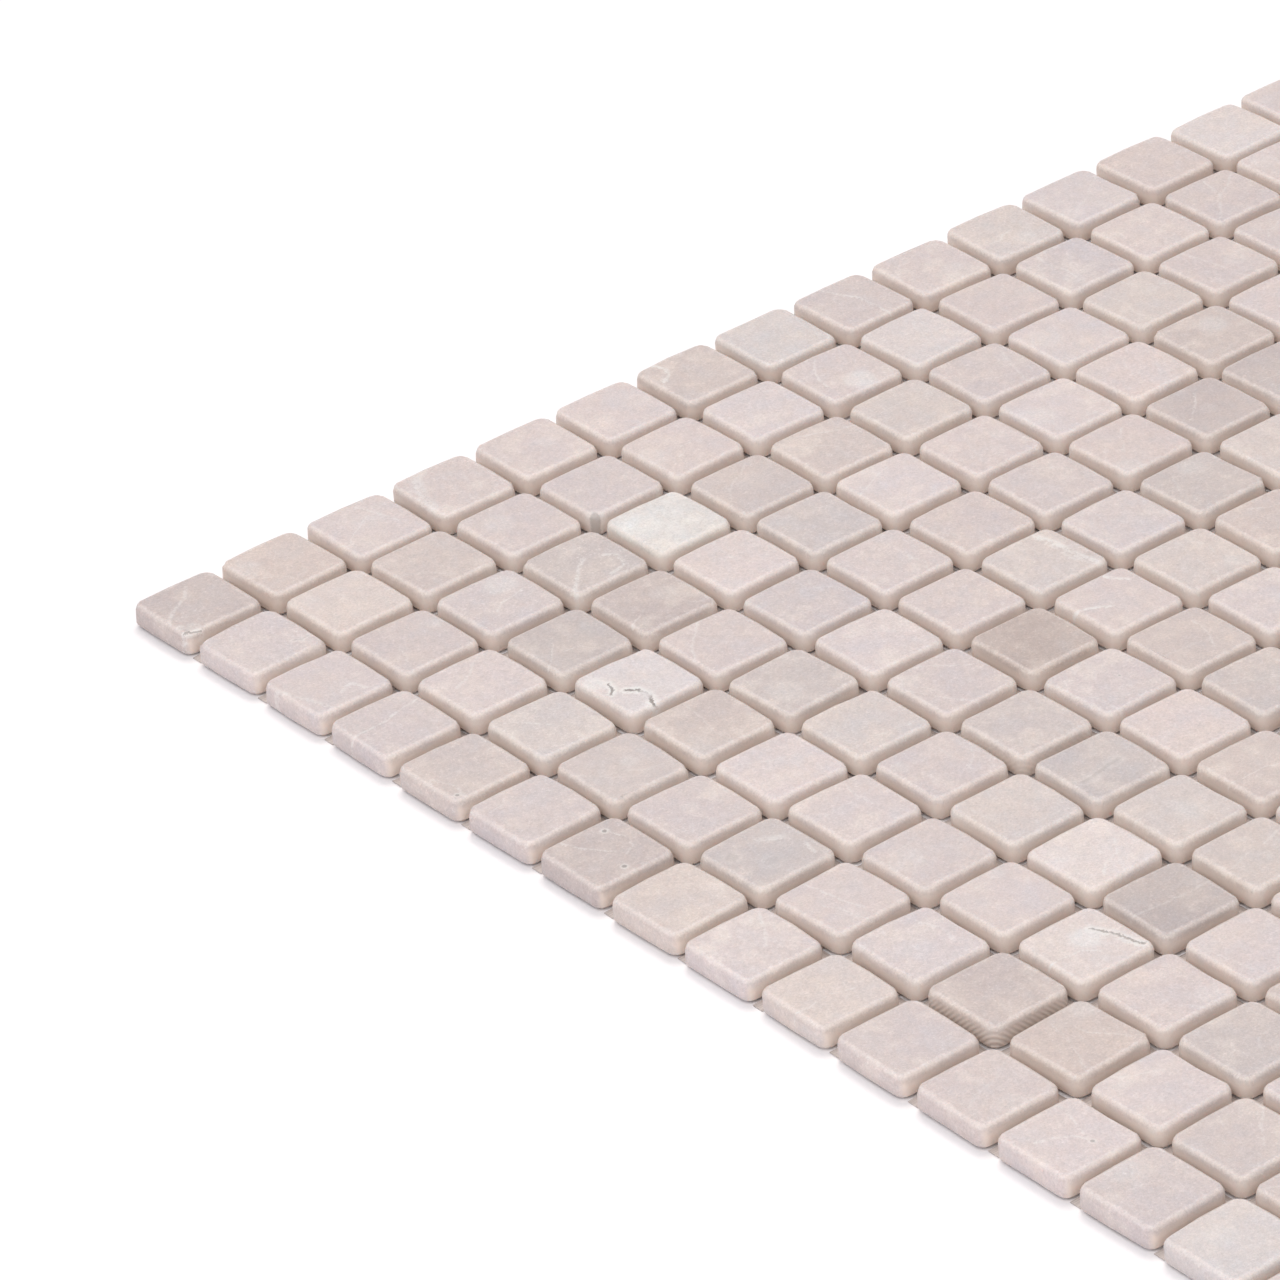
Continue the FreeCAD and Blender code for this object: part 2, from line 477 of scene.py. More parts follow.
class StoneGrain(Effect):
    """Sugary crystals that show on a frosted face, as a height and a fleck mask."""

    name = "Stone Grain"
    inputs = {"Bed": VECTOR}
    outputs = ("Sugar", "Fleck")

    def work(self, graph: Graph, given: Outputs) -> dict[str, Socket]:
        """Build crystals from fine noise and flecks from its peaks."""
        sugar = graph.noise(given["Bed"], scale=2.4, detail=2.0, rough=0.95)
        return {"Sugar": sugar, "Fleck": graph.ramp(sugar, 0.60, 0.74)}


class StoneWearAndLight(Effect):
    """Bands round a chip's face, from a place on its unworn blank: worn rims, and painted light
    in the joints.
    """

    name = "Stone Wear And Light"
    inputs = {"Place": VECTOR, "Mottle": FLOAT}
    outputs = ("Rim", "Edge", "Wall", "Corner")
    corner_cut = 6.3  # what the worn corners take off the sum of X and Y
    face_edge = 2.75  # what is taken off for the bands to start at the face's edge
    ragged = 1.2  # how far the mottle frays the start of the rim

    def work(self, graph: Graph, given: Outputs) -> dict[str, Socket]:
        """Build the bands from how far a place lies past the face, over the rim and down."""
        place = graph.parts(given["Place"])
        along = graph.math("ABSOLUTE", place["X"])
        across = graph.math("ABSOLUTE", place["Y"])
        both = graph.math("ADD", along, across)
        square = graph.math("MAXIMUM", along, across)
        outline = graph.math("MAXIMUM", square, graph.math("SUBTRACT", both, self.corner_cut))
        past = graph.math("SUBTRACT", outline, self.face_edge)
        past = graph.math("SUBTRACT", past, place["Z"])
        frayed = graph.math("MULTIPLY_ADD", given["Mottle"], self.ragged, past)
        starts = graph.ramp(frayed, -0.35, 0.30)
        ends = graph.ramp(past, 0.45, 1.45)
        below = graph.ramp(past, 0.0, 1.2)
        return {
            "Rim": graph.math("SUBTRACT", starts, ends, clamp=True),
            "Edge": graph.ramp(past, -0.1, 0.8),
            "Wall": graph.ramp(past, 1.0, 2.8),
            "Corner": graph.times(graph.ramp(both, 11.4, 14.0), below),
        }


class StoneLine(Effect):
    """A broken line along a path of four points, for veins and cracks."""

    name = "Stone Line"
    points = ("First", "Second", "Third", "Fourth")
    inputs = {
        **dict.fromkeys(("Place", "Look", *points), VECTOR),
        **dict.fromkeys(("Flow", "Mottle"), FLOAT),
    }
    outputs = ("White", "Split")
    vein = (0.35, 1.3)  # from where to where it thins out, in widths of the line
    crack = (0.13, 0.45)
    lip = (0.50, 1.70)

    def work(self, graph: Graph, given: Outputs) -> dict[str, Socket]:
        """Build the line from its distance to each run, broken by the stone's mottle."""
        points = [given[name] for name in self.points]
        runs = [self.away(graph, given["Place"], *run) for run in zip(points, points[1:])]
        away = graph.math("MINIMUM", graph.math("MINIMUM", runs[0], runs[1]), runs[2])
        look = graph.parts(given["Look"])
        near = graph.math("DIVIDE", away, look["X"])
        grit = graph.times(graph.ramp(given["Mottle"], -0.16, 0.08), look["Y"])
        gaps = graph.times(graph.ramp(given["Flow"], 0.28, 0.42), look["Z"])
        lips = graph.fade(near, *self.lip, gaps)
        lips = graph.times(lips, graph.ramp(given["Mottle"], -0.20, 0.06))
        vein = graph.fade(near, *self.vein, grit)
        return {
            "White": graph.math("MAXIMUM", vein, lips),
            "Split": graph.fade(near, *self.crack, gaps),
        }

    @staticmethod
    def away(graph: Graph, place: object, start: object, end: object) -> Socket:
        """Return the distance from a place to a straight run between two points."""
        run = graph.vector("SUBTRACT", end, start)
        out = graph.vector("SUBTRACT", place, start)
        covered = graph.vector("DOT_PRODUCT", out, run, output=1)
        whole = graph.vector("DOT_PRODUCT", run, run, output=1)
        share = graph.math("DIVIDE", covered, whole, clamp=True)
        return graph.vector("DISTANCE", out, graph.vector("MULTIPLY", run, share), output=1)


class StoneSpot(Effect):
    """A ragged round mark: a dark pit with a pale lip, or a pale curd."""

    name = "Stone Spot"
    inputs = {"Place": VECTOR, "Spot": VECTOR, "Shade": FLOAT, "Mottle": FLOAT}
    outputs = ("Pit", "Lip", "Curd")
    ragged = 0.9  # how far the mottle frays the mark
    pit = (0.55, 1.0)  # from where to where it ends, in radii of the mark
    lip = (1.0, 2.0)
    curd = (0.55, 1.15)

    def work(self, graph: Graph, given: Outputs) -> dict[str, Socket]:
        """Build the mark from the distance to its middle."""
        middle = graph.vector("MULTIPLY", given["Spot"], (1.0, 1.0, 0.0))
        away = graph.vector("DISTANCE", given["Place"], middle, output=1)
        near = graph.math("DIVIDE", away, graph.parts(given["Spot"])["Z"])
        near = graph.math("MULTIPLY_ADD", given["Mottle"], self.ragged, near)
        dark = graph.math("MULTIPLY", given["Shade"], -1.0, clamp=True)
        pale = graph.math("MULTIPLY", given["Shade"], 1.0, clamp=True)
        return {
            "Pit": graph.fade(near, *self.pit, dark),
            "Lip": graph.fade(near, *self.lip, dark),
            "Curd": graph.fade(near, *self.curd, pale),
        }


@dataclass(frozen=True)
class TumbledMarble:
    """Finish of the chips: frosted pink marble, rims paler from wear and painted highlight,
    joints with painted light.

    A share is how much of a tint shows where its mask is full. Of two shares,
    the first goes with the chip's trait or the grain, the second is always there.
    """

    cream: Colour = (0.66, 0.565, 0.515, 1.0)  # warm tint of the clouds
    milk: Colour = (0.80, 0.775, 0.755, 1.0)  # white of veins, flecks and curds
    chalk_and_highlight: Colour = (0.88, 0.80, 0.77, 1.0)  # worn rims' bruised stone, also painted highlight on rims and painted light on corners
    painted_joint_light: Colour = (0.80, 0.692, 0.642, 1.0)  # painted warm light deep down the walls in the joints, for light bounced between chips
    warmth: Colour = (0.995, 0.985, 0.950, 1.0)  # painted warm bounce light: what is kept of each colour below the rims in the joints
    recess_dark: Colour = (0.20, 0.17, 0.155, 1.0)  # laid dark in cracks, pits and saw grooves
    cream_share: float = 0.22
    cloud_share: float = 0.40
    curd_shares: Pair = (0.10, 0.06)
    fleck_shares: Pair = (0.34, 0.08)
    spot_share: float = 0.55
    painted_joint_light_share: float = 0.85
    chalk_and_highlight_shares: Pair = (0.5, 0.04)
    vein_share: float = 0.62
    lip_share: float = 0.40
    recess_dark_share: float = 0.62
    saw_share: float = 0.30
    painted_corner_light: float = 1.25  # painted light on upright corners in the joints, as a share of the rims' pale tint
    mottling: float = 0.38  # how strongly the mottle shades the stone
    graining: float = 0.55  # how strongly single crystals do
    hues: float = 0.13  # how far the stone drifts between warm and cool
    jag: Pair = (2.4, 1.6)  # how far lines stray in X and Y, in millimetres
    roughness: Pair = (0.25, 0.52)  # with the grain, and always
    relief: Pair = (0.5, -0.9)  # height of the crystals and of saw marks
    bump: Pair = (0.35, 0.25 * MM)  # strength and depth of the relief
    glow: float = 0.25  # share of light that passes through the stone
    glow_depth: float = 2.0 * MM

    def material(self) -> Material:
        """Return the finish as a material, built once."""
        name = "tumbled_marble"
        made = bpy.data.materials.get(name)
        if made is None:
            made = empty_material(name)
            MarbleTree(made.node_tree, self).build()
        return made


class MarbleTree(Graph):
    """The nodes that read the chips' traits and shade their stone."""

    def __init__(self, tree: NodeTree, finish: TumbledMarble) -> None:
        """Lay out the masks that shade a chip.

        Args:
            tree: The material's tree.
            finish: Colours and shares of the stone.
        """
        super().__init__(tree)
        self.finish = finish
        self.place = self.attribute("chip_place")
        self.flat = self.vector("MULTIPLY", self.place, (1.0, 1.0, 0.0))
        bed = self.vector("ADD", self.place, self.attribute("chip_bed"))
        self.cloud = StoneCloud().place(self, Bed=bed)
        grain = StoneGrain().place(self, Bed=bed)
        self.sugar, self.fleck = grain["Sugar"], grain["Fleck"]
        self.band = StoneWearAndLight().place(self, Place=self.place, Mottle=self.cloud["Mottle"])
        # Which sides face a joint and which chips lie inside the sheet, for painted light; and
        # how sawn the sides are.
        self.wear = self.parts(self.attribute("chip_joint_light_and_saw"))
        aside, sway = finish.jag
        away = {
            "X": self.times(self.cloud["Mottle"], aside),
            "Y": self.math("MULTIPLY_ADD", self.cloud["Flow"], sway, -0.5 * sway),
        }
        jag = self.fill(self.node("ShaderNodeCombineXYZ"), away)[0]
        self.strayed = self.vector("ADD", self.flat, jag)
        self.spots = [self.spot("spot"), self.spot("dimple")]
        self.lines = [self.line("vein"), self.line("branch")]

    def build(self) -> None:
        """Shade the stone and give it its relief."""
        finish = self.finish
        colour = self.marked(self.worn(self.sound()))
        wave = self.node("ShaderNodeTexWave", wave_type="BANDS", bands_direction="DIAGONAL")
        saw = self.fill(wave, {"Vector": self.place, "Scale": 0.60, "Distortion": 0.6})
        # Saw marks: grooves in the relief of sawn sides, with the colour darker along them.
        sawn = self.times(self.band["Wall"], self.wear["Y"])
        ridges = self.times(saw["Fac"], sawn)
        crystal, ridge = finish.relief
        height = self.times(ridges, ridge)
        height = self.math("MULTIPLY_ADD", self.sugar, crystal, height)
        sugar = self.math("SUBTRACT", self.sugar, 0.5)
        sources = {
            "Base Color": self.lay(ridges, finish.saw_share, colour, finish.recess_dark),
            "Roughness": self.math("MULTIPLY_ADD", sugar, *finish.roughness),
            "Normal": self.bump(height, *finish.bump),
            "IOR": 1.5,
            "Subsurface Weight": finish.glow,
            "Subsurface Radius": (1.0, 0.65, 0.5),
            "Subsurface Scale": finish.glow_depth,
        }
        self.surface(sources)

    def sound(self) -> Socket:
        """Return the unworn stone: its tone with clouds, curds, flecks, mottle and hues."""
        finish, cloud = self.finish, self.cloud
        marks = self.parts(self.attribute("chip_marks"))
        tone = self.attribute("chip_tone", "Color")
        colour = self.lay(cloud["Drift"], finish.cream_share, tone, finish.cream)
        for mask, share in (
            (cloud["Cloud"], self.times(marks["X"], finish.cloud_share)),
            (cloud["Curd"], self.math("MULTIPLY_ADD", marks["X"], *finish.curd_shares)),
            (self.fleck, self.math("MULTIPLY_ADD", marks["Y"], *finish.fleck_shares)),
            (self.most(self.spots, "Curd"), finish.spot_share),
        ):
            colour = self.lay(mask, share, colour, finish.milk)
        even = 1.0 - 0.5 * finish.graining
        depth = self.math("MULTIPLY_ADD", cloud["Mottle"], finish.mottling, even)
        depth = self.math("MULTIPLY_ADD", self.sugar, finish.graining, depth)
        colour = self.vector("MULTIPLY", colour, depth)
        hues = finish.hues
        drift = (1.0 - 0.5 * hues, 1.0, 1.0 + 0.5 * hues)
        hue = self.vector("MULTIPLY_ADD", cloud["Flow"], (hues, 0.0, -hues), drift)
        return self.vector("MULTIPLY", colour, hue)

    def worn(self, colour: Socket) -> Socket:
        """Return the stone with painted warm light on the joint walls, and rims and corners paler
        from wear and painted light.
        """
        finish, band, wear = self.finish, self.band, self.wear
        # Painted warm light deep down the walls that face another chip.
        inner = self.times(band["Wall"], wear["X"])
        colour = self.lay(inner, finish.painted_joint_light_share, colour, finish.painted_joint_light)
        # Rims paler from bruising and painted highlight, corners in the joints from painted
        # light.
        chalk_and_highlight = self.math("MULTIPLY_ADD", self.sugar, *finish.chalk_and_highlight_shares, clamp=True)
        corner = self.times(band["Corner"], wear["Z"])
        bruised_and_lit = self.math("MULTIPLY_ADD", corner, finish.painted_corner_light, band["Rim"])
        colour = self.lay(bruised_and_lit, chalk_and_highlight, colour, finish.chalk_and_highlight)
        # Painted warm bounce light: a warmer tint below the rims in the joints.
        edge = self.times(band["Edge"], wear["X"])
        return self.tint(edge, colour, finish.warmth, "MULTIPLY")

    def marked(self, colour: Socket) -> Socket:
        """Return the stone with the chip's veins, cracks and pits."""
        finish = self.finish
        white = self.most(self.lines, "White")
        colour = self.lay(white, finish.vein_share, colour, finish.milk)
        lip = self.most(self.spots, "Lip")
        colour = self.lay(lip, finish.lip_share, colour, finish.milk)
        pit = self.most(self.spots, "Pit")
        dark = self.math("MAXIMUM", self.most(self.lines, "Split"), pit)
        return self.lay(dark, finish.recess_dark_share, colour, finish.recess_dark)

    def line(self, name: str) -> Outputs:
        """Return the masks of the line whose attributes start with a name."""
        stone = {"Flow": self.cloud["Flow"], "Mottle": self.cloud["Mottle"]}
        points = {
            point: self.attribute(f"{name}_{step}")
            for step, point in enumerate(StoneLine.points, start=1)
        }
        look = self.attribute(f"{name}_look")
        return StoneLine().place(self, Place=self.strayed, Look=look, **stone, **points)

    def spot(self, name: str) -> Outputs:
        """Return the masks of the round mark whose attributes start with a name."""
        spot, shade = self.attribute(f"{name}_place"), self.attribute(f"{name}_shade", "Fac")
        stone = {"Place": self.flat, "Mottle": self.cloud["Mottle"]}
        return StoneSpot().place(self, Spot=spot, Shade=shade, **stone)


@dataclass(frozen=True)
class GlassFibre:
    """Finish of the net: straw-coloured yarn, stiff with dried adhesive."""

    colour: Colour = (0.66, 0.575, 0.54, 1.0)
    shade: Colour = (0.50, 0.43, 0.395, 1.0)  # painted shade between the filaments, darker where the bump sinks
    roughness: Pair = (0.2, 0.35)  # with the filaments, and always
    bump: Pair = (0.5, 0.05 * MM)  # strength and depth of the filaments

    def material(self) -> Material:
        """Return the finish as a material, with fine filaments along each strand and painted
        shade between them.
        """
        made = empty_material("glass_fibre_net")
        graph = Graph(made.node_tree)
        strands = graph.noise(graph.attribute("yarn_place"), scale=1.0, detail=3.0)
        filaments = graph.ramp(strands, 0.35, 0.65)
        sources = {
            "Base Color": graph.tint(filaments, self.shade, self.colour),
            "Roughness": graph.math("MULTIPLY_ADD", strands, *self.roughness),
            "Normal": graph.bump(strands, *self.bump),
        }
        graph.surface(sources)
        return made


@dataclass(frozen=True)
class ChipForm:
    """Form of a tumbled chip before its own wear."""

    side: float = 15.2 * MM
    height: float = 4.0 * MM
    corner_radius: float = 1.75 * MM
    rim_radius: float = 0.90 * MM  # round of the rim of the face
    foot_radius: float = 0.6 * MM  # round of the rim of the back

    def cut(self) -> Mesh:
        """Return the blank that chips are worn from, about its own middle, on z = 0."""
        blank = box(self.side, self.side, self.height)
        half = self.height / 2
        bmesh.ops.translate(blank, vec=(0.0, 0.0, half), verts=blank.verts)
        upright = [edge for edge in blank.edges if self.rise(edge) > half]
        round_edges(blank, upright, self.corner_radius, segments=3)
        straight = [edge for edge in blank.edges if edge.calc_length() > self.side / 2]
        bmesh.ops.subdivide_edges(blank, edges=straight, cuts=1)
        round_edges(blank, self.rim(blank, self.height), self.rim_radius, segments=2)
        round_edges(blank, self.rim(blank, 0.0), self.foot_radius, segments=1)
        bmesh.ops.recalc_face_normals(blank, faces=blank.faces)
        for face in blank.faces:
            face.smooth = abs(face.normal.z) < 0.99
        return finish_mesh(blank, "chip_blank")

    @staticmethod
    def rise(edge: BMEdge) -> float:
        """Return how far an edge climbs."""
        return abs(edge.verts[0].co.z - edge.verts[1].co.z)

    @staticmethod
    def rim(blank: BMesh, level: float) -> list[BMEdge]:
        """List the edges round the flat face at a level, without those that cross it."""
        return [
            edge
            for edge in blank.edges
            if all(abs(vert.co.z - level) < 1e-7 for vert in edge.verts)
            and not all(abs(face.normal.z) > 0.9 for face in edge.link_faces)
        ]


@dataclass(frozen=True)
class Tumbling:
    """How far chips differ in wear and lie, in millimetres unless it says otherwise."""

    turn: float = 0.8  # spread of its turn on the net, in degrees
    shift: float = 0.11  # spread of its shift, each way
    size: float = 0.006  # spread of its size, as a share
    lean: float = 0.9  # spread of its slope, as a share of its height per metre
    sink: float = 0.03  # most height lost all over, as a share
    corner: float = 0.40  # most wear of one upright corner, as a share of the depths below
    shade: float = 0.018  # spread of its lightness, as a share
    blush: float = 0.008  # spread of its warmth, as a share
    broad: Pair = (0.13, 0.26)  # depth and fineness of broad waves
    fine: Pair = (0.10, 0.8)  # depth and fineness of small waves
    nick: Pair = (0.42, 0.38)  # fineness of nicks, and the noise that makes one
    swell: float = 0.03  # how far the outline stands out all round
    corner_depth: float = 0.6  # what a worn corner loses sideways
    nick_depth: float = 1.1  # what a nick takes
    nick_drop: float = 1.2  # what a nick takes off the rim
    corner_drop: float = 0.20  # what every corner loses off the rim
    wear_drop: float = 0.5  # what a worn corner loses besides
    edge_band: Pair = (0.83, 0.12)  # start and growth of wear, as shares of reach
    corner_band: Pair = (12.6, 1.6)  # the same at corners, X and Y together


class Piece:
    """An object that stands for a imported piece."""

    piece: Object | None = None

    def dress(self, finish: TumbledMarble | GlassFibre) -> None:
        """Give the piece its finish."""
        self.piece.data.materials.append(finish.material())


@dataclass
class ChipRow(Piece):
    """One row of chips: worn one by one, and joined in one piece."""

    number: int  # from 1 at the sheet's +Y edge
    form: ChipForm
    blank: Mesh  # what each chip is worn from

    def build(self) -> None:
        """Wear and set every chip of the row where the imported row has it."""
        node = f"chip_row_{self.number:02d}"
        low, high = (Vector(corner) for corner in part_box(node))
        packed = high.y - low.y
        pitch = (high.x - low.x - packed) / (ROWS - 1)
        row = bmesh.new()
        layers = ChipLayers(row)
        for column in range(ROWS):
            dice = random.Random(1000 * self.number + column)
            start = len(row.verts)
            row.from_mesh(self.blank)
            row.verts.ensure_lookup_table()
            chip = ChipWear(self.form, (column, self.number - 1), dice)
            along = low.x + packed / 2 + column * pitch
            middle = Vector((along, (low.y + high.y) / 2, low.z))
            for vert in row.verts[start:]:
                chip.mark(layers, vert)
                vert.co = chip.worn(vert.co)
                vert.co = chip.settled(vert.co) + middle
        name = f"marble_{node}"
        self.piece = put_in_scene(name, finish_mesh(row, name))
        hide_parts(node)
        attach(self.piece, BODY)


class ChipLayers:
    """Mesh attributes that carry each chip's traits to its stone."""

    def __init__(self, row: BMesh) -> None:
        """Add the attributes to a row."""
        vectors = row.verts.layers.float_vector
        floats = row.verts.layers.float
        self.place = vectors.new("chip_place")
        self.marks = vectors.new("chip_marks")
        # Which sides face a joint and which chips lie inside the sheet, for painted light; and
        # how sawn the sides are.
        self.wear = vectors.new("chip_joint_light_and_saw")
        self.bed = vectors.new("chip_bed")
        self.tone = row.verts.layers.float_color.new("chip_tone")
        self.paths = {
            name: [vectors.new(f"{name}_{step}") for step in (1, 2, 3, 4)]
            for name in ("vein", "branch")
        }
        self.looks = {name: vectors.new(f"{name}_look") for name in self.paths}
        self.spots = {name: vectors.new(f"{name}_place") for name in ("spot", "dimple")}
        self.shades = {name: floats.new(f"{name}_shade") for name in self.spots}


class ChipWear:
    """One chip's own wear, lie and marks."""

    def __init__(self, form: ChipForm, cell: tuple[int, int], dice: random.Random) -> None:
        """Draw the chip's lie and the shade of its stone.

        Args:
            form: Form of the blank.
            cell: Its column along the row, and its row from the +Y edge.
            dice: The chip's own source of chance.
        """
        self.ways = ways = Tumbling()
        self.traits = NOTED.get(cell) or draw_traits(dice)
        self.column, self.row = cell
        self.form = form
        self.seed = dice.uniform(0.0, 90.0)
        self.turn = Matrix.Rotation(math.radians(dice.gauss(0.0, ways.turn)), 3, "Z")
        self.shift = Vector((dice.gauss(0.0, ways.shift), dice.gauss(0.0, ways.shift), 0.0)) * MM
        self.size = (1.0 + dice.gauss(0.0, ways.size), 1.0 + dice.gauss(0.0, ways.size))
        self.lean = (dice.gauss(0.0, ways.lean), dice.gauss(0.0, ways.lean))
        self.sink = dice.uniform(0.0, ways.sink)
        self.corners = tuple(dice.uniform(0.0, ways.corner) for _ in range(4))
        self.shade = 1.0 + dice.gauss(0.0, ways.shade)
        self.blush = dice.gauss(0.0, ways.blush)
        self.tone = self.traits.tone or draw_tone(dice)

    def on_border(self, co: Vector) -> bool:
        """Tell whether a point of the blank is on a side that no other chip faces."""
        if abs(co.x) > abs(co.y):
            return self.column == (0 if co.x < 0.0 else ROWS - 1)
        return self.row == (0 if co.y > 0.0 else ROWS - 1)

    def outer(self, co: Vector) -> float:
        """Return how near a point of the blank is to its outline, from 0 to 1."""
        start, width = self.ways.edge_band
        reach = max(abs(co.x), abs(co.y)) / (self.form.side / 2)
        return min(1.0, max(0.0, (reach - start) / width))

    def corner(self, co: Vector) -> float:
        """Return how near a point of the blank is to an upright corner, from 0 to 1."""
        start, width = self.ways.corner_band
        return min(1.0, max(0.0, (abs(co.x) + abs(co.y)) / MM - start) / width)

    @staticmethod
    def wave(where: Vector, depth: float, fineness: float) -> float:
        """Return the height of a wave of noise at a place."""
        return depth * noise.noise(where * fineness)

    def worn(self, co: Vector) -> Vector:
        """Move a point of the blank to where tumbling left it.

        Args:
            co: Point of the blank.

        Returns:
            The same point on the worn chip.
        """
        ways = self.ways
        where = co / MM + Vector((self.seed, -self.seed, 2.0 * self.seed))
        out = Vector((co.x, co.y, 0.0)).normalized()
        wave = self.wave(where, *ways.broad) + self.wave(where, *ways.fine)
        fineness, start = ways.nick
        elsewhere = Vector((9.0, 4.0, 1.0))
        nick = max(0.0, noise.noise(where * fineness + elsewhere) - start)
        high = co.z / self.form.height
        edge = self.outer(co)
        corner = self.corner(co)
        loss = self.corners[(co.x > 0.0) + 2 * (co.y > 0.0)] * corner
        aside = wave + ways.swell - ways.corner_depth * loss - ways.nick_depth * nick * high
        moved = co + out * edge * aside * MM
        drop = nick * ways.nick_drop + ways.corner_drop * corner + ways.wear_drop * loss
        moved.z -= edge * drop * MM * max(0.0, high - 0.5) * 2.0
        slope = 1.0 - self.sink - self.lean[0] * co.x - self.lean[1] * co.y
        moved.z *= min(1.0, slope)
        return moved

    def settled(self, co: Vector) -> Vector:
        """Turn and shift a worn point to how the chip lies on the net."""
        sized = Vector((co.x * self.size[0], co.y * self.size[1], co.z))
        return self.turn @ sized + self.shift

    def mark(self, layers: ChipLayers, vert: BMVert) -> None:
        """Write the chip's traits to one vertex of its blank.

        Args:
            layers: The row's attributes.
            vert: A vertex that still has its place on the blank.
        """
        traits = self.traits
        # Sides that face another chip take painted warm light, and chips inside the sheet painted
        # light on their upright corners.
        inner = 0.0 if self.on_border(vert.co) else 1.0
        ringed = float(0 < self.column < ROWS - 1 and 0 < self.row < ROWS - 1)
        vert[layers.place] = vert.co / MM
        vert[layers.marks] = (traits.cloud, traits.fleck, 0.0)
        vert[layers.wear] = (inner, traits.sawn, ringed)
        vert[layers.bed] = (self.seed, 1.7 * self.seed, 2.3 * self.seed)
        for name, line in (("vein", traits.vein), ("branch", traits.branch)):
            for step, layer in enumerate(layers.paths[name]):
                vert[layer] = line.point(step)
            vert[layers.looks[name]] = (line.width, line.white, line.split)
        for name, spot in (("spot", traits.spot), ("dimple", traits.dimple)):
            vert[layers.spots[name]] = (spot.x, spot.y, spot.radius)
            vert[layers.shades[name]] = spot.shade
        red, green, blue = (part * self.shade for part in self.tone.value)
        vert[layers.tone] = (red * (1.0 + self.blush), green, blue * (1.0 - self.blush), 1.0)


@dataclass
class BackingNet(Piece):
    """Glass-fibre net under the chips: strands over and under, and dabs of adhesive."""

    strands: int = 53  # each way
    per_chip: int = 3  # strands to one pitch of the chips
    pitch: float = 17.0 / 3.0 * MM
    width: float = 1.3 * MM
    thickness: float = 0.2 * MM
    flood: float = 1.7  # how much wider the adhesive makes the strands under joints
    dab_radius: float = 2.6 * MM  # adhesive that fills the net where two joints cross
    filament_run: float = 60.0  # how fast the noise changes along a strand, per metre
    filament_cross: float = 9000.0  # the same across a strand
    dab_grain: float = 900.0  # the same in a dab

    def build(self) -> None:
        """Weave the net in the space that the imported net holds."""
        low, high = (Vector(corner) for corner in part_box("backing_net"))
        side = high.x - low.x
        level = (low.z + high.z) / 2
        sway = (high.z - low.z - self.thickness) / 2
        quarter = Matrix.Rotation(math.pi / 2, 3, "Z")
        strand = self.strand(side)
        net = bmesh.new()
        place = net.verts.layers.float_vector.new("yarn_place")
        for number in range(self.strands):
            steps = number - self.strands // 2
            spread = self.flood if steps % self.per_chip == 0 else 1.0
            for turned in (False, True):
                start = len(net.verts)
                net.from_mesh(strand)
                net.verts.ensure_lookup_table()
                fresh = net.verts[start:]
                phase = math.pi * (number + turned)
                for vert in fresh:
                    vert[place] = (
                        vert.co.x * self.filament_run,
                        vert.co.y * self.filament_cross + 7.0 * number,
                        vert.co.z * self.filament_cross,
                    )
                    lift = sway * math.cos(math.pi * vert.co.x / self.pitch + phase)
                    vert.co.y *= spread
                    vert.co += Vector((0.0, steps * self.pitch, level + lift))
                if turned:
                    bmesh.ops.rotate(net, verts=fresh, cent=(0, 0, 0), matrix=quarter)
        bpy.data.meshes.remove(strand)
        self.fill(net, place, level)
        self.piece = put_in_scene("net_strands", finish_mesh(net, "net_strands"))
        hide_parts("backing_net")
        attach(self.piece, BODY)

    def fill(self, net: BMesh, place: BMLayerItem, level: float) -> None:
        """Set a flat dab of adhesive in the net wherever two joints cross.

        Args:
            net: The net under construction.
            place: Its layer of places along the yarn.
            level: Height of the net's middle.
        """
        joints = ROWS - 1
        first = (1 - joints) / 2
        crossings = [(first + number) * self.per_chip * self.pitch for number in range(joints)]
        radius = self.dab_radius
        shape = {"segments": 8, "radius1": radius, "radius2": 0.9 * radius, "cap_ends": True}
        for across in crossings:
            for along in crossings:
                middle = Matrix.Translation((along, across, level))
                dab = bmesh.ops.create_cone(net, depth=self.thickness / 2, matrix=middle, **shape)
                for vert in dab["verts"]:
                    vert[place] = vert.co * self.dab_grain

    def strand(self, length: float) -> Mesh:
        """Draw one straight flat strand along X, about the origin.

        Args:
            length: Its length.

        Returns:
            The strand as a mesh.
        """
        woven = self.strands * self.pitch
        yarn = box(woven, self.width, self.thickness)
        round_edges(yarn, self.running(yarn, length), self.thickness * 0.45, segments=1)
        running, cuts = self.running(yarn, length), 2 * self.strands - 1
        bmesh.ops.subdivide_edges(yarn, edges=running, cuts=cuts, use_grid_fill=True)
        for vert in yarn.verts:
            if abs(vert.co.x) > woven / 2 - self.thickness:
                vert.co.x = math.copysign(length / 2, vert.co.x)
        for face in yarn.faces:
            face.smooth = True
        return finish_mesh(yarn, "net_strand")

    @staticmethod
    def running(yarn: BMesh, length: float) -> list[BMEdge]:
        """List the edges that run the whole length of a strand."""
        return [edge for edge in yarn.edges if edge.calc_length() > length / 2]


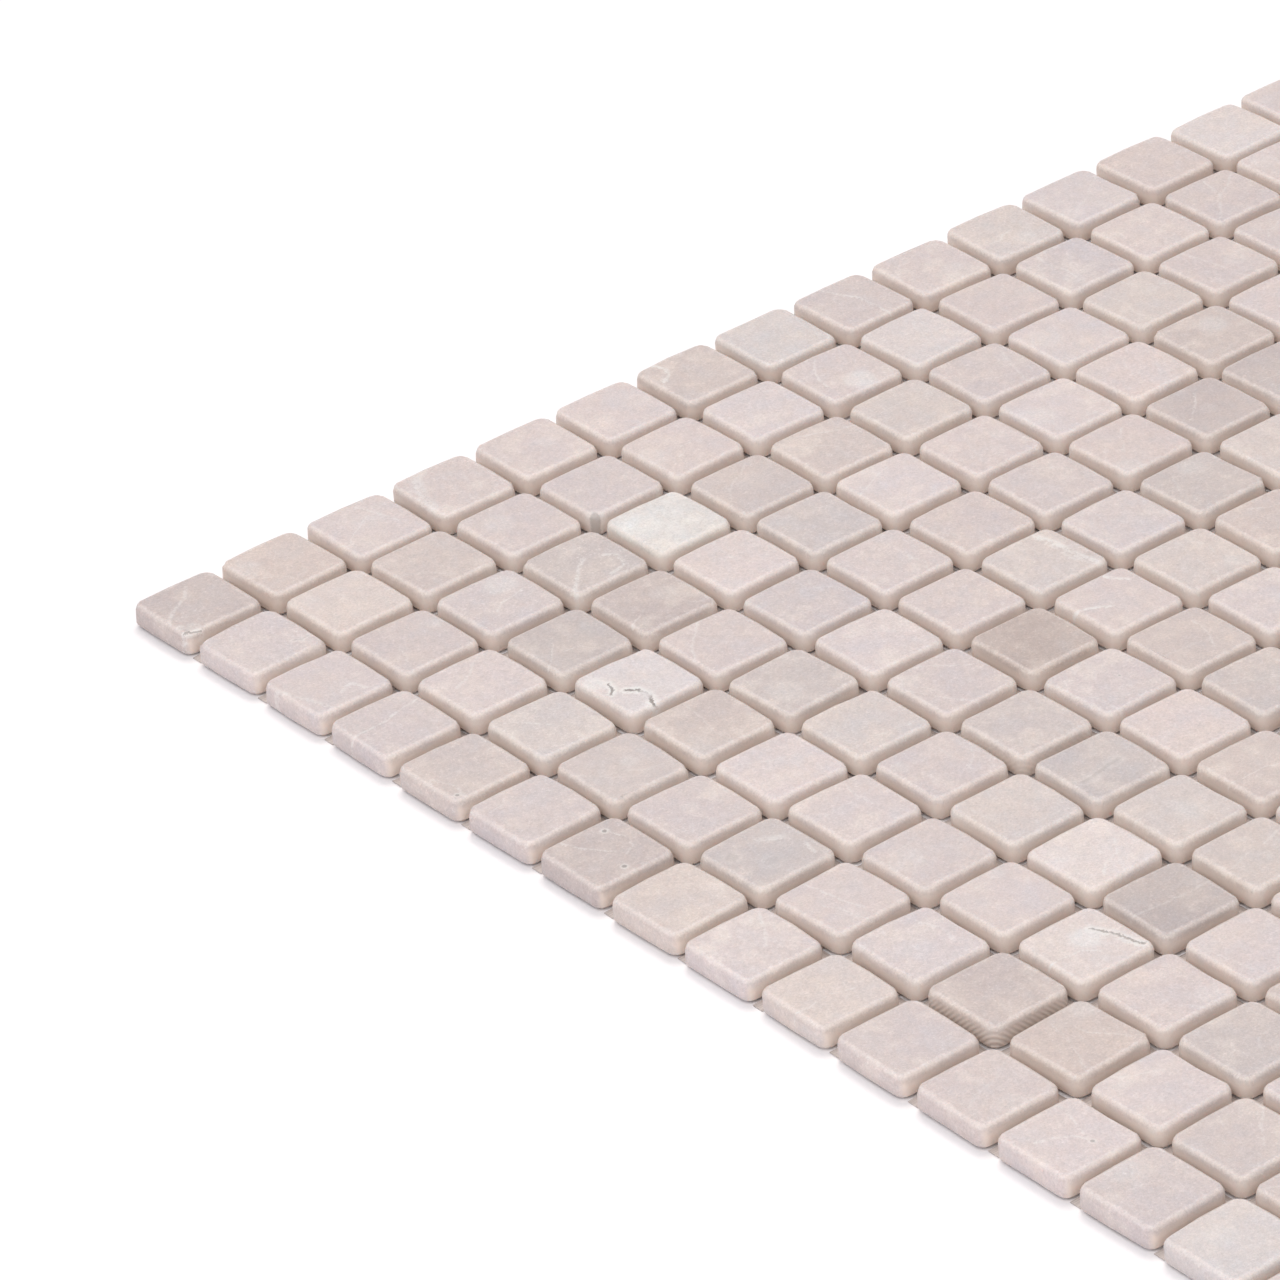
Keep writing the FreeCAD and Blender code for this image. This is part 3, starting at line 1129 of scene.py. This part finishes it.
@dataclass
class Studio:
    """Pale floor, soft lights and the camera."""

    eye: Triple = (-0.70575, -0.71209, 0.60784)
    aim: Triple = (-0.10270, 0.08555, 0.0044)
    roll: float = -4.304  # tilt of the camera about its line of sight, in degrees
    lens: float = 212.67  # focal length for a sensor 36 mm wide, in millimetres
    floor: Colour = (0.93, 0.905, 0.915, 1.0)
    air: Colour = (0.99, 0.995, 1.025, 1.0)
    air_strength: float = 0.510

    def lay_floor(self) -> None:
        """Lay a pale floor, level with the net's underside."""
        sheet = bmesh.new()
        bmesh.ops.create_grid(sheet, x_segments=1, y_segments=1, size=6.0)
        floor = put_in_scene("studio_floor", finish_mesh(sheet, "studio_floor"))
        paint = bpy.data.materials.new("studio_white")
        paint.use_nodes = True
        shader = paint.node_tree.nodes["Principled BSDF"]
        look = {"Base Color": self.floor, "Roughness": 0.9, "Specular IOR Level": 0.1}
        Graph(paint.node_tree).fill(shader, look)
        floor.data.materials.append(paint)

    def light(self) -> None:
        """Light the sheet softly, so that the walls towards the camera are lit."""
        world = bpy.data.worlds.new("studio_air")
        world.use_nodes = True
        backdrop = world.node_tree.nodes["Background"]
        look = {"Color": self.air, "Strength": self.air_strength}
        Graph(world.node_tree).fill(backdrop, look)
        bpy.context.scene.world = world
        self.hang("front_softbox", (-1.56, -0.97, 2.0), 1.4, 36.0, (0.97, 0.985, 1.0))
        self.hang("back_softbox", (0.48, 0.64, 2.2), 1.1, 21.0, (1.0, 0.95, 0.88))

    @staticmethod
    def hang(name: str, place: Triple, size: float, power: float, colour: Triple) -> None:
        """Hang a square soft light that faces the sheet.

        Args:
            name: Name of the light.
            place: Where it hangs.
            size: Its side, in metres.
            power: Its power, in watts.
            colour: Its colour.
        """
        lamp = bpy.data.lights.new(name, "AREA")
        lamp.shape = "SQUARE"
        lamp.size = size
        lamp.energy = power
        lamp.color = colour
        holder = put_in_scene(name, lamp)
        holder.location = place
        holder.rotation_mode = "QUATERNION"
        holder.rotation_quaternion = (-Vector(place)).to_track_quat("-Z", "Y")

    def set_camera(self) -> None:
        """Set the camera at the photograph's viewing angle."""
        data = bpy.data.cameras.new("camera")
        data.lens = self.lens
        data.sensor_width = 36.0
        data.clip_start = 0.05
        data.clip_end = 30.0
        camera = put_in_scene("camera", data)
        camera.location = self.eye
        camera.rotation_mode = "QUATERNION"
        sight = (Vector(self.aim) - Vector(self.eye)).to_track_quat("-Z", "Y")
        tilt = Matrix.Rotation(math.radians(self.roll), 4, "Z").to_quaternion()
        camera.rotation_quaternion = sight @ tilt
        bpy.context.scene.camera = camera
        bpy.context.scene.view_settings.view_transform = "Standard"


def main() -> None:
    """Build and dress the sheet, then set up the studio."""
    logging.basicConfig(level=logging.INFO, format="%(name)s: %(message)s")
    net = BackingNet()
    net.build()
    net.dress(GlassFibre())
    LOG.info("%s: %d faces", net.piece.name, len(net.piece.data.polygons))
    form = ChipForm()
    blank = form.cut()
    marble = TumbledMarble()
    for number in range(1, ROWS + 1):
        row = ChipRow(number, form, blank)
        row.build()
        row.dress(marble)
        LOG.info("%s: %d faces", row.piece.name, len(row.piece.data.polygons))
    bpy.data.meshes.remove(blank)
    studio = Studio()
    studio.lay_floor()
    studio.light()
    studio.set_camera()


if __name__ == "__main__":
    main()
